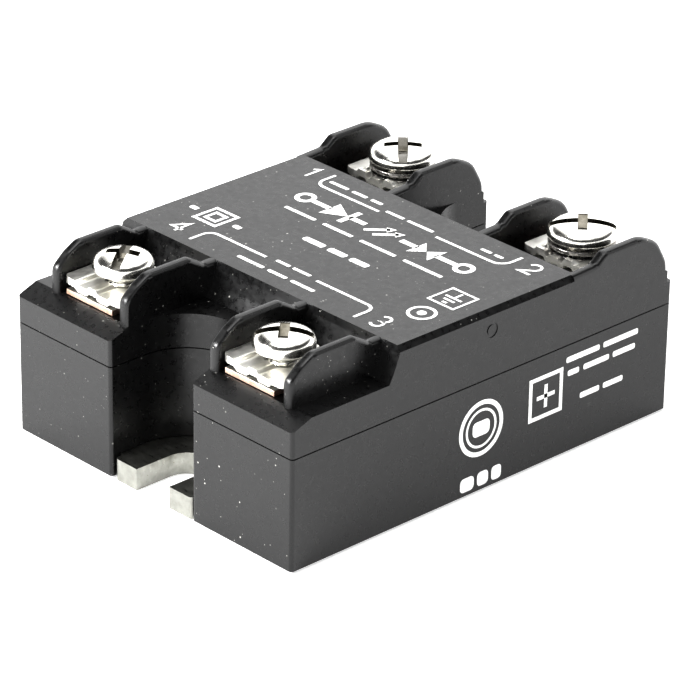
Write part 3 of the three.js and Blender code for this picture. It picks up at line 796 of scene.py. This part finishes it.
def make_clamp(t):
    """Pressed saddle clamp: a W section over the wire channels and a ribbed outer edge."""
    columns, rows = 110, 34
    half, length = CLAMP_HALF, CLAMP_LENGTH
    with_louvres = t["end"] > 0

    def lift(x, inboard):
        """Height over the lowest line. inboard is the distance from the edge that faces the label."""
        away = abs(x)
        off_plateau = smooth_step((away - PLATEAU_EDGE) / CHANNEL_BLEND)
        past_channel = smooth_step((away - CHANNEL_EDGE) / CHANNEL_BLEND)
        rise = PLATEAU_RISE * (1 - off_plateau + past_channel)
        wing = WING_SLOPE * max(0.0, away - WING_EDGE)
        if not with_louvres:
            return rise + wing
        on_crest = smooth_step((LOUVRE_HALF - abs(away - LOUVRE_CENTRE)) / LOUVRE_BLEND)
        near_edge = smooth_step((LOUVRE_REACH - inboard) / LOUVRE_RUN_OUT)
        return rise + wing + LOUVRE_RISE * (on_crest * near_edge)

    def tooth(x):
        """Teeth left by the press along the outer edge."""
        return TOOTH_DEPTH * abs(((x * TEETH_PER_MM) % 1.0) * 2 - 1)

    def point(i, j, thick):
        x = -half + 2 * half * i / columns
        share = j / rows
        corner = max(0.0, abs(x) - half + CLAMP_CORNER)
        outer_y = length / 2 - tooth(x) - OUTER_CORNER * corner * corner
        inner_y = length / 2 - INNER_CORNER * corner * corner
        away = outer_y - share * (outer_y + inner_y)
        z = CLAMP_BOTTOM + lift(x, away + inner_y) + thick * CLAMP_THICK
        return (t["x"] + x, t["y"] + away * t["end"], z)

    verts = [point(i, j, k) for k in (0, 1) for i in range(columns + 1) for j in range(rows + 1)]
    layer = (columns + 1) * (rows + 1)

    def at(i, j, k):
        return k * layer + i * (rows + 1) + j

    faces = []
    for i in range(columns):
        for j in range(rows):
            for k in (0, 1):
                faces.append((at(i, j, k), at(i + 1, j, k), at(i + 1, j + 1, k), at(i, j + 1, k)))
        for j in (0, rows):
            faces.append((at(i, j, 0), at(i + 1, j, 0), at(i + 1, j, 1), at(i, j, 1)))
    for j in range(rows):
        for i in (0, columns):
            faces.append((at(i, j, 0), at(i, j + 1, 0), at(i, j + 1, 1), at(i, j, 1)))
    body = make_object("clamp", verts, faces)
    radius = t["screw"]["shank"] + CLAMP_HOLE_GAP
    tools = [drum_at(t, radius, CLAMP_BOTTOM - BEYOND, CLAMP_BOTTOM + 3, 48)]
    if t["end"] > 0:
        seat = FLAT_WASHER["bottom"] - SEAT_GAP
        tools.append(drum_at(t, WASHER_SEAT, seat, CLAMP_BOTTOM + 4, 64))
    combine(body, tools, "DIFFERENCE")
    soften(body, 0.10, 2, 50)
    paint(body, "satin_nickel")
    return finish_at(t, body, "saddle", "clamp", "nickel", "clamp_plate", degrees=40)


def make_screw(t):
    """Pan head with a full-width slot and a cross recess, on a threaded shank."""
    screw = t["screw"]
    head, under, height, shank = screw["head"], screw["under"], screw["height"], screw["shank"]
    top = under + height
    above = top + 0.6
    dome = [
        (1.0, 0.07), (1.0, 0.26), (0.985, 0.42), (0.94, 0.57), (0.86, 0.70), (0.72, 0.81), (0.50, 0.91),
        (0.25, 0.975),
    ]
    foot = [(0, under), (head - 0.14, under), (head - 0.04, under + 0.05)]
    profile = foot + [(head * out, under + height * up) for out, up in dome] + [(0, top)]
    body = turned(profile, t["x"], t["y"], 96)
    # The second material is painted shade for the faces of the slot and cross
    paint(body, "nickel", "recess")
    place = Matrix.Translation((t["x"], t["y"], 0)) @ Matrix.Rotation(math.radians(t["slot"]), 4, "Z")

    def set_tool(tool, turn):
        """Turns a cutting tool into place and gives the faces it leaves the painted shade of the recess."""
        tool.data.transform(place @ Matrix.Rotation(turn, 4, "Z"))
        paint(tool, "nickel", "recess")
        for face in tool.data.polygons:
            face.material_index = 1
        return tool

    edge = GROOVE_WIDTH / 2
    floor = edge - GROOVE_LEAN
    groove = [
        (-edge - 0.1, above), (-edge, top - 0.2), (-floor, top - GROOVE_DEPTH),
        (floor, top - GROOVE_DEPTH), (edge, top - 0.2), (edge + 0.1, above),
    ]
    tools = [set_tool(prism(groove, -1.5 * head, 1.5 * head, "x"), 0)]
    reach = head * CROSS_REACH
    arm = [
        (0, above), (reach, above), (reach * 0.9, top - 0.35), (0.5, top - CROSS_DEPTH + 0.05),
        (0, top - CROSS_DEPTH),
    ]
    for k in range(4):
        tools.append(set_tool(prism(arm, -CROSS_HALF, CROSS_HALF, "y"), k * math.pi / 2))
    combine(body, tools, "DIFFERENCE")
    combine(body, [make_thread(t["x"], t["y"], shank, under - screw["length"], under + 0.3)], "UNION")
    soften(body, 0.05, 2, 40)
    return finish_at(t, body, "screw", "screw", "nickel", "terminal_screw", degrees=30)


def make_thread(x, y, radius, low, high):
    """Shank with a right-hand V thread that fades under the head and at the tip."""
    count, rings_per_turn = 40, 8
    blend, plain, point = 0.5, 1.2, 0.35
    steps = int((high - low) / THREAD_PITCH * rings_per_turn)
    rings = []
    for r in range(steps + 1):
        z = low + (high - low) * r / steps
        past_tip = smooth_step((z - low) / blend)
        fade = past_tip * smooth_step((high - plain - z) / blend)
        points = []
        for i in range(count):
            angle = 2 * math.pi * i / count
            phase = (z / THREAD_PITCH - i / count) % 1.0
            reach = radius - THREAD_DEPTH * abs(2 * phase - 1) * fade - point * (1 - past_tip)
            points.append((x + reach * math.cos(angle), y + reach * math.sin(angle), z))
        rings.append(points)
    return closed_rings((x, y, low), rings, (x, y, high))


def make_flat_washer(t):
    """Plain washer on the clamp, under the spring washer."""
    bottom = FLAT_WASHER["bottom"]
    body = drum_at(t, FLAT_WASHER["outer"], bottom, bottom + FLAT_WASHER["thick"], 72)
    hole = drum_at(t, FLAT_WASHER["inner"], bottom - BEYOND, bottom + BEYOND, 48)
    combine(body, [hole], "DIFFERENCE")
    flatten(body)
    soften(body, 0.08, 2)
    # Its darkened grey is partly painted shade under the screw head
    return finish_at(t, body, "plain_washer", "clamp", "steel", "flat_washer")


def make_spring_washer(t):
    """Split washer with its ends sprung apart."""
    outer, inner, bottom = LOCK_WASHER["outer"], LOCK_WASHER["inner"], LOCK_WASHER["bottom"]
    thick, rise = LOCK_WASHER["thick"], LOCK_WASHER["rise"]
    count = 96
    gap = math.radians(11)
    section = rounded([(inner, 0, 0.08), (outer, 0, 0.12), (outer, thick, 0.12), (inner, thick, 0.08)], 3)
    verts, faces = [], []
    for i in range(count + 1):
        share = i / count
        angle = gap / 2 + (2 * math.pi - gap) * share
        foot = bottom + rise * share
        for r, z in section:
            verts.append((t["x"] + r * math.cos(angle), t["y"] + r * math.sin(angle), foot + z))
    size = len(section)
    for i in range(count):
        for k in range(size):
            m = (k + 1) % size
            faces.append((i * size + k, (i + 1) * size + k, (i + 1) * size + m, i * size + m))
    faces.append(tuple(reversed(range(size))))
    faces.append(tuple(range(count * size, (count + 1) * size)))
    body = make_object("washer", verts, faces)
    # Its darkened grey is partly painted shade under the screw head
    return finish_at(t, body, "spring_washer", "clamp", "steel", "lock_washer", degrees=40)


# ---- printing ----

# Ink thickness, and the gap that keeps it off the plastic
INK = 0.03
INK_GAP = 0.005

# Places of the flat shapes: (x, y) on the label, (y, z) on the side
LABEL_FACE = Matrix.Translation((0, 0, LABEL_TOP))
ONTO_SIDE = Matrix(((0, 0, 1, 0), (1, 0, 0, 0), (0, 1, 0, 0), (0, 0, 0, 1)))
SIDE_FACE = Matrix.Translation((WIDTH / 2, 0, 0)) @ ONTO_SIDE


def stroke(points, width, closed=False):
    """Flat shape of a line of the given width through the points, with mitred joints."""
    verts, faces = [], []
    path = [Vector(p) for p in points]
    count = len(path)

    def across(i):
        before = path[i - 1] if closed or i > 0 else path[i]
        after = path[(i + 1) % count] if closed or i < count - 1 else path[i]
        first = path[i] - before
        second = after - path[i]
        first = first.normalized() if first.length > 1e-9 else second.normalized()
        second = second.normalized() if second.length > 1e-9 else first
        way = (first + second).normalized()
        normal = Vector((-way.y, way.x))
        return normal * (width / 2 / max(0.35, way.dot(first)))

    for i in range(count):
        side = across(i)
        for z in (0, INK):
            verts.append((path[i].x + side.x, path[i].y + side.y, z))
            verts.append((path[i].x - side.x, path[i].y - side.y, z))
    spans = count if closed else count - 1
    for i in range(spans):
        a, b = 4 * i, 4 * ((i + 1) % count)
        faces += [
            (a, b, b + 1, a + 1), (a + 2, a + 3, b + 3, b + 2),
            (a, a + 2, b + 2, b), (a + 1, b + 1, b + 3, a + 3),
        ]
    if not closed:
        end = 4 * (count - 1)
        faces += [(0, 1, 3, 2), (end, end + 2, end + 3, end + 1)]
    return verts, faces


def area(outline):
    """Filled flat shape of an outline."""
    return [(a, b, z) for z in (0, INK) for a, b in outline], sides_and_caps(len(outline))


def bar(x0, x1, y0, y1):
    """Filled bar with rounded ends, which stands for a word."""
    radius = min(x1 - x0, y1 - y0) * 0.3
    return area(rounded([(x0, y0, radius), (x1, y0, radius), (x1, y1, radius), (x0, y1, radius)], 3))


def arc(x, y, radius, start, end, steps=20, flat=1.0):
    """Points along part of a circle, from start to end in degrees. flat squeezes it along y."""
    angles = [math.radians(start + (end - start) * i / steps) for i in range(steps + 1)]
    return [(x + radius * math.cos(a), y + flat * radius * math.sin(a)) for a in angles]


def row(low, high, *spans):
    """Bars side by side, which stand for one line of print."""
    return [bar(start, end, low, high) for start, end in spans]


def square(x, y, half, width):
    corners = [(x - half, y - half), (x + half, y - half), (x + half, y + half), (x - half, y + half)]
    return stroke(corners, width, closed=True)


def ring(x, y, radius, width, steps=48):
    return stroke(arc(x, y, radius, 0, 360 * (steps - 1) / steps, steps - 1), width, closed=True)


def printed(name, shapes, face):
    """Joins flat shapes into one printed piece on a face of the housing."""
    verts, faces = [], []
    for more_verts, more_faces in shapes:
        start = len(verts)
        verts += more_verts
        faces += [tuple(start + i for i in f) for f in more_faces]
    piece = make_object(name, verts, faces)
    piece.data.transform(face @ Matrix.Translation((0, 0, INK_GAP)))
    return finish_piece(piece, name, "housing", "white_ink")


def moved(points, x, y):
    return [(x + a, y + b) for a, b in points]


DIGIT_STROKES = {
    1: [[(0.05, 1.95), (0.75, 2.5), (0.75, 0)]],
    2: [arc(0.85, 1.72, 0.78, 165, -38, 14) + [(0.02, 0.02), (1.72, 0.02)]],
    3: [arc(0.82, 1.84, 0.66, 150, -90, 14) + arc(0.82, 0.6, 0.72, 90, -150, 14)[1:]],
    4: [[(1.25, 0), (1.25, 2.5), (0.0, 0.72), (1.8, 0.72)]],
}


DIGIT_PLACES = {1: (-17.9, 9.45), 2: (17.1, 9.5), 3: (15.7, -11.9), 4: (-17.0, -11.7)}
DIGIT_LINE = 0.34

# Each bracket runs out along x from near to far, turns a corner and ends at y = tip
BRACKETS = [
    {"side": -1, "near": 4.3, "far": 14.85, "y": 8.85, "tip": 12.1, "turn": 1.4},
    {"side": 1, "near": 4.9, "far": 15.2, "y": 8.85, "tip": 12.1, "turn": 1.6},
    {"side": 1, "near": 4.5, "far": 13.75, "y": -8.9, "tip": -12.1, "turn": 1.2},
    {"side": -1, "near": 3.7, "far": 12.85, "y": -8.85, "tip": -12.0, "turn": 1.2},
]
BRACKET_LINE = 0.38
SYMBOL_Y = 5.3


def bracket(side, near, far, y, tip, turn):
    up = 1 if y > 0 else -1
    corner = []
    for k in range(9):
        a = math.radians(90 * k / 8)
        corner.append((side * (far - turn + turn * math.sin(a)), y + up * turn * (1 - math.cos(a))))
    return stroke([(side * near, y)] + corner + [(side * far, tip)], BRACKET_LINE)


def make_printing():
    """White print: terminal numbers, brackets and a circuit symbol. Bars stand for the words."""
    digits = []
    for number, (x, y) in DIGIT_PLACES.items():
        digits += [stroke(moved(points, x, y), DIGIT_LINE) for points in DIGIT_STROKES[number]]
    printed("print_terminal_numbers", digits, LABEL_FACE)
    printed("print_brackets", [bracket(**place) for place in BRACKETS], LABEL_FACE)

    bold = 0.75
    arrow = 0.55
    symbol = [
        ring(-12.6, 0, 1.0, bold * 0.8, 36),
        stroke([(-11.3, 0), (-8.4, 0)], bold),
        area([(-8.6, -1.7), (-8.6, 1.7), (-5.6, 0)]),
        stroke([(-5.3, -1.7), (-5.3, 1.7)], bold),
        stroke([(-5.3, 0), (-2.7, 0)], bold),
        stroke([(-1.9, -1.1), (0.2, 1.0)], arrow),
        stroke([(-0.3, -1.3), (1.8, 0.8)], arrow),
        area([(0.75, 1.55), (-0.55, 1.2), (0.45, 0.2)]),
        area([(2.35, 1.35), (1.05, 1.0), (2.05, 0.0)]),
        stroke([(3.0, 0), (5.6, 0)], bold),
        area([(5.4, -1.6), (5.4, 1.6), (7.0, 0)]),
        area([(8.7, -1.6), (8.7, 1.6), (7.1, 0)]),
        stroke([(8.5, 0), (11.6, 0)], bold),
        ring(12.9, 0, 1.0, bold * 0.8, 36),
    ]
    printed("print_circuit_symbol", symbol, LABEL_FACE @ Matrix.Translation((0, SYMBOL_Y, 0)))

    words = [
        *row(1.65, 2.15, (-12.3, -7.3), (-6.0, -1.3), (0.0, 5.6), (6.9, 12.9)),
        *row(-2.7, -1.8, (-4.7, -1.4), (-0.7, 2.1), (2.8, 5.6)),
        *row(-8.8, -8.35, (-2.3, -0.1), (0.4, 3.2)),
        *row(-11.2, -10.7, (-6.0, -1.8), (-1.1, 1.9), (2.6, 6.3)),
        *row(10.2, 10.7, (-14.0, -11.0), (-10.3, -7.9), (-7.2, -5.4)),
        *row(9.3, 9.75, (-3.8, -0.9), (-0.3, 3.8)),
        *row(10.15, 10.6, (10.5, 12.1), (12.6, 13.9)),
    ]
    printed("print_label_bars", words, LABEL_FACE)

    thin = 0.3
    medium = 0.42
    marks = [
        square(-15.3, -5.9, 1.75, medium), square(-15.3, -5.9, 0.85, medium),
        *row(-6.3, -5.6, (-19.5, -18.3), (-12.3, -11.1)),
        square(17.6, -1.0, 1.9, thin),
        stroke([(17.6, 0.5), (17.6, -0.7)], thin), stroke([(16.4, -0.9), (18.8, -0.9)], thin),
        stroke([(16.8, -1.6), (18.4, -1.6)], thin), stroke([(17.25, -2.3), (17.95, -2.3)], thin),
        ring(17.9, -6.0, 1.5, 0.4), area(circle(17.9, -6.0, 0.55, 24)),
    ]
    printed("print_generic_marks", marks, LABEL_FACE)

    thick = 0.5
    side = [
        ring(-1.0, 7.8, 3.1, 0.55), ring(-1.0, 7.8, 2.2, thin),
        bar(-2.3, 0.3, 6.9, 8.7),
        *row(0.7, 2.4, (-4.0, -1.9), (-1.4, 0.3), (0.8, 2.3)),
        square(9.0, 8.4, 2.4, thick),
        stroke([(7.6, 8.4), (10.4, 8.4)], thick), stroke([(9.0, 7.0), (9.0, 9.8)], thick),
        *row(11.3, 12.0, (12.1, 17.4), (18.0, 23.6)),
        *row(9.6, 10.3, (12.4, 14.2), (14.9, 19.0), (19.6, 23.2)),
        *row(6.2, 6.9, (14.5, 17.6), (18.2, 21.4)),
    ]
    printed("print_side_marks", side, SIDE_FACE)


# ---- inside ----

# Material of each CAD node that is kept, by its name without the number
INSIDE_SLOTS = {
    "ceramic_substrate": "ceramic", "copper_pad": "copper", "thyristor_chip": "silicon",
    "cathode_strap": "copper", "gate_wire": "copper", "potting_resin": "resin",
    "control_board": "laminate", "opto_coupler": "component_black",
    "bridge_rectifier": "component_black", "input_resistor": "resistor_body",
    "smoothing_capacitor": "sleeve", "regulator_transistor": "component_black",
    "zener_diode": "diode_glass", "snubber_capacitor": "film_case",
    "snubber_resistor": "resistor_body", "gate_resistor": "resistor_body",
}


def dress_inside():
    """Gives every CAD node that still shows a procedural material."""
    for name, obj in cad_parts.items():
        if obj.hide_render:
            continue
        slot = INSIDE_SLOTS[name.rstrip("_0123456789")]
        if not obj.material_slots:
            obj.data.materials.append(MATERIALS[slot])
        for holder in obj.material_slots:
            holder.material = MATERIALS[slot]


make_top_cover()
make_lower_case()
make_base_plate()
for terminal in TERMINALS:
    make_strip(terminal)
    make_clamp(terminal)
    make_screw(terminal)
    if terminal["end"] > 0:
        make_flat_washer(terminal)
        make_spring_washer(terminal)
make_printing()
dress_inside()


# ---- studio ----

# Sizes and places in the studio are metres, light powers are watts

FLOOR_HALF = 3.0
FLOOR_DROP = 0.1 * MM
FLOOR_GLOW = 0.55

# Level directions from the object to the white wall, and along that wall
BACK_WALL = (-0.722, 0.691, 0)
BACK_WALL_ACROSS = (0.691, 0.722, 0)

# Where each part of the surround begins and is full, as cosines of the angle to its direction
WALL_LEFT = (-0.38, -0.26)
WALL_RIGHT = (0.48, 0.64)
WALL_FRONT = (-0.1, 0.15)
BELT_START = (0.38, 0.50)
ZENITH = (0.88, 0.95)

WALL_LIGHT = 0.95
HORIZON_LIGHT = 1.0
BELT_LIGHT = 0.03
ZENITH_LIGHT = 0.7
SURROUND_STRENGTH = 2.3

CAMERA_AZIMUTH = 46.258
CAMERA_ELEVATION = 26.085
CAMERA_ROLL = 0.915
CAMERA_PLACE = (0.302548, -0.288965, 0.213527)
CAMERA_LENS = 213.87
CAMERA_SENSOR = 36

WHITE = (1.0, 1.0, 1.0, 1)


def make_floor():
    """White paper just under the object. It glows a little, as overlit paper does."""
    n = material_nodes("floor_paper")
    n.colour(n.ramp(n.noise(40, 2), 0.3, 0.7, (0.90, 0.90, 0.90), (0.92, 0.92, 0.92)))
    n.shader.inputs["Roughness"].default_value = 0.9
    n.shader.inputs["Emission Color"].default_value = WHITE
    n.shader.inputs["Emission Strength"].default_value = FLOOR_GLOW
    corners = [(-1, -1), (1, -1), (1, 1), (-1, 1)]
    verts = [(x * FLOOR_HALF, y * FLOOR_HALF, -FLOOR_DROP) for x, y in corners]
    floor = make_object("floor", verts, [(0, 1, 2, 3)])
    floor.data.materials.append(n.owner)


def make_light(name, azimuth, elevation, distance, size, power, aim=(0, 0, 0.01)):
    """Soft panel at an azimuth like the camera's, facing aim."""
    data = bpy.data.lights.new(name, "AREA")
    data.shape = "RECTANGLE"
    data.size, data.size_y = size
    data.energy = power
    light = bpy.data.objects.new(name, data)
    a, e = math.radians(azimuth), math.radians(elevation)
    away = Vector((math.sin(a) * math.cos(e), -math.cos(a) * math.cos(e), math.sin(e)))
    light.location = Vector(aim) + away * distance
    light.rotation_euler = away.to_track_quat("Z", "Y").to_euler()
    scene.collection.objects.link(light)


def make_world():
    """White surround at the horizon and overhead with a dim belt between, and a white wall behind."""
    n = Nodes(bpy.data.worlds.new("studio"), "Background", "Generated")

    def along(vector):
        """Cosine of the angle between the view direction and the vector."""
        node = n.add("ShaderNodeVectorMath")
        node.operation = "DOT_PRODUCT"
        n.link(n.place, node.inputs[0])
        node.inputs[1].default_value = vector
        return node.outputs["Value"]

    height = along((0, 0, 1))
    aside = along(BACK_WALL_ACROSS)
    left = n.spread(aside, *WALL_LEFT, 0, WALL_LIGHT)
    sides = n.maths("MULTIPLY", left, n.spread(aside, *WALL_RIGHT, 1, 0))
    wall = n.maths("MULTIPLY", sides, n.spread(along(BACK_WALL), *WALL_FRONT, 0, 1))
    zenith = n.spread(height, *ZENITH, 0, ZENITH_LIGHT)
    horizon = n.spread(height, *BELT_START, HORIZON_LIGHT, BELT_LIGHT)
    total = n.maths("MAXIMUM", n.maths("MAXIMUM", horizon, zenith), wall)
    n.shader.inputs["Color"].default_value = WHITE
    n.link(n.maths("MULTIPLY", total, SURROUND_STRENGTH), n.shader.inputs["Strength"])
    scene.world = n.owner


def make_camera():
    """Camera of the photo. Azimuth turns from -Y towards +X, and roll turns it about its view."""
    azimuth = math.radians(CAMERA_AZIMUTH)
    elevation = math.radians(CAMERA_ELEVATION)
    roll = math.radians(CAMERA_ROLL)
    out = math.cos(elevation)
    back = Vector((math.sin(azimuth) * out, -math.cos(azimuth) * out, math.sin(elevation)))
    level = Vector((math.cos(azimuth), math.sin(azimuth), 0))
    upright = back.cross(level)
    right = level * math.cos(roll) + upright * math.sin(roll)
    up = upright * math.cos(roll) - level * math.sin(roll)
    data = bpy.data.cameras.new("camera")
    data.sensor_width = CAMERA_SENSOR
    data.lens = CAMERA_LENS
    data.clip_start, data.clip_end = 0.01, 20
    camera = bpy.data.objects.new("camera", data)
    turn = Matrix((right, up, back)).transposed().to_4x4()
    camera.matrix_world = Matrix.Translation(CAMERA_PLACE) @ turn
    scene.collection.objects.link(camera)
    scene.camera = camera


make_floor()
make_world()
make_light("overhead", azimuth=-20, elevation=84, distance=0.9, size=(0.5, 0.5), power=3)
make_light("front_left", azimuth=-20, elevation=40, distance=0.25, size=(0.14, 0.08), power=1.7,
           aim=(-0.045, -0.07, 0))
make_camera()
scene.view_settings.view_transform = "Standard"
scene.view_settings.gamma = 0.82
